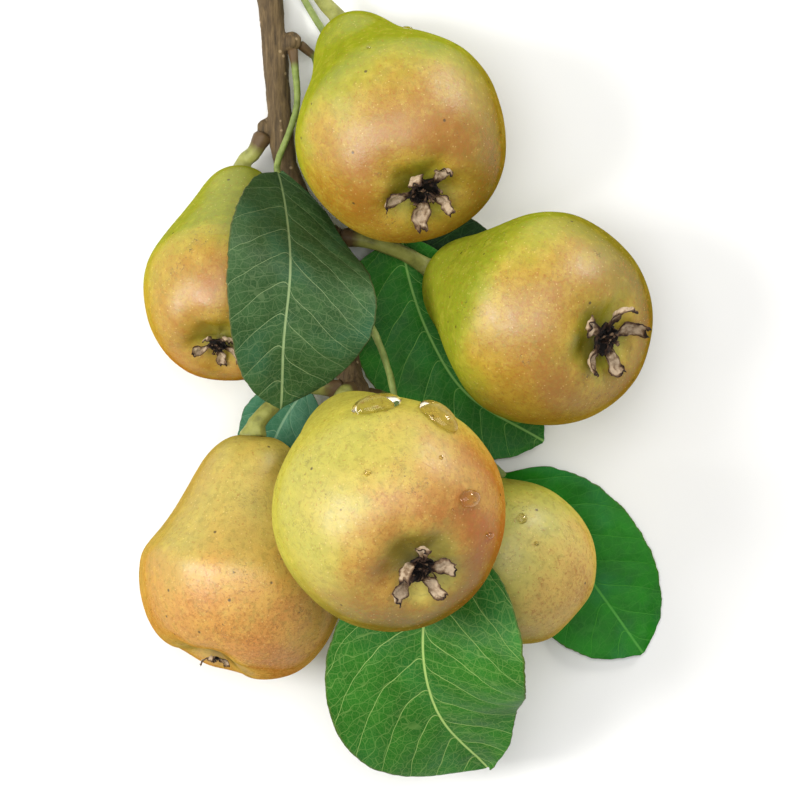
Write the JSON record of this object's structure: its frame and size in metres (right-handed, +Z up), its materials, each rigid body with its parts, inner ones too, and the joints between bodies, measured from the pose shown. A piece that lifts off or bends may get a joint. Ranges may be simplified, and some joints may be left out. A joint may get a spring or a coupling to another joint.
{
  "type": "pear branch",
  "caption": "Cut fruiting branch of a pear tree, lying flat: a woody twig with spurs, a cluster of ripe pears on their stalks, and green leaves.",
  "frame": {"origin": "on the table, under the middle of the branch's footprint", "axes": "+Z up, away from the table; +Y along the branch, towards the cut end of the twig"},
  "size_m": [0.1512, 0.2478, 0.1029],
  "materials": {
    "bark": "matte",
    "fruit_skin": "satin",
    "fruit_stalk": "matte",
    "dried_calyx": "matte",
    "leaf": "satin",
    "leaf_stalk": "matte"
  },
  "bodies": {
    "root": {"twig": "bark", "pear_top": "fruit_skin", "pear_top_stalk": "fruit_stalk", "pear_top_calyx": "dried_calyx", "pear_left": "fruit_skin", "pear_left_stalk": "fruit_stalk", "pear_left_calyx": "dried_calyx", "pear_right": "fruit_skin", "pear_right_stalk": "fruit_stalk", "pear_right_calyx": "dried_calyx", "pear_lower_left": "fruit_skin", "pear_lower_left_stalk": "fruit_stalk", "pear_lower_left_calyx": "dried_calyx", "pear_front": "fruit_skin", "pear_front_stalk": "fruit_stalk", "pear_front_calyx": "dried_calyx", "pear_lower_right": "fruit_skin", "pear_lower_right_stalk": "fruit_stalk", "pear_lower_right_calyx": "dried_calyx", "leaf_front_blade": "leaf", "leaf_front_stalk": "leaf_stalk", "leaf_middle_blade": "leaf", "leaf_middle_stalk": "leaf_stalk", "leaf_shaded_blade": "leaf", "leaf_shaded_stalk": "leaf_stalk", "leaf_bottom_blade": "leaf", "leaf_bottom_stalk": "leaf_stalk", "leaf_right_blade": "leaf", "leaf_right_stalk": "leaf_stalk", "leaf_behind_stalk_blade": "leaf", "leaf_behind_stalk_stalk": "leaf_stalk", "leaf_under_top_pear_blade": "leaf", "leaf_under_top_pear_stalk": "leaf_stalk"}
  },
  "joints": []
}
